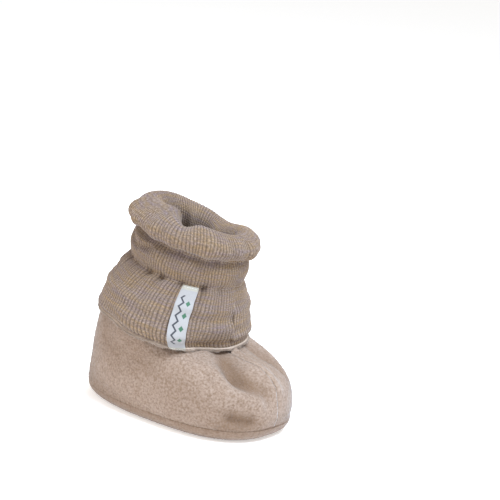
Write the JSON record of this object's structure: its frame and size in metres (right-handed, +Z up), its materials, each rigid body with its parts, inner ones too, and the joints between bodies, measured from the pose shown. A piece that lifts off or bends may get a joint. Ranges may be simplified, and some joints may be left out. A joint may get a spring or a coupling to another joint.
{
  "type": "baby bootie",
  "caption": "Soft fleece baby bootie with a flat sewn sole and a ribbed knit lining, its elastic shaft turned down over the ankle as a cuff.",
  "frame": {"origin": "on the floor under the middle of the bootie's bounding box", "axes": "+X towards the toe, +Y to the wearer's left, +Z up"},
  "size_m": [0.1342, 0.094, 0.1232],
  "materials": {
    "fleece": "matt napped fleece",
    "rib_knit": "matt heathered rib knit",
    "elastic": "matt woven elastic",
    "label": "smooth woven tape",
    "thread": "matt sewing thread"
  },
  "bodies": {
    "root": {"fleece_side_left": "fleece", "fleece_side_right": "fleece", "fleece_sole": "fleece", "lining_side_left": "rib_knit", "lining_side_right": "rib_knit", "lining_sole": "rib_knit", "ankle_elastic": "elastic", "cuff_elastic": "elastic", "woven_label": "label", "label_stitches": "thread", "front_seam_thread": "thread", "back_seam_thread": "thread", "sole_seam_thread": "thread", "lining_front_seam_thread": "thread", "lining_back_seam_thread": "thread", "lining_sole_seam_thread": "thread", "ankle_casing_stitch_lower": "thread", "ankle_casing_stitch_upper": "thread", "cuff_casing_stitch_upper": "thread", "cuff_casing_stitch_lower": "thread", "rim_seam_thread": "thread"}
  },
  "joints": []
}
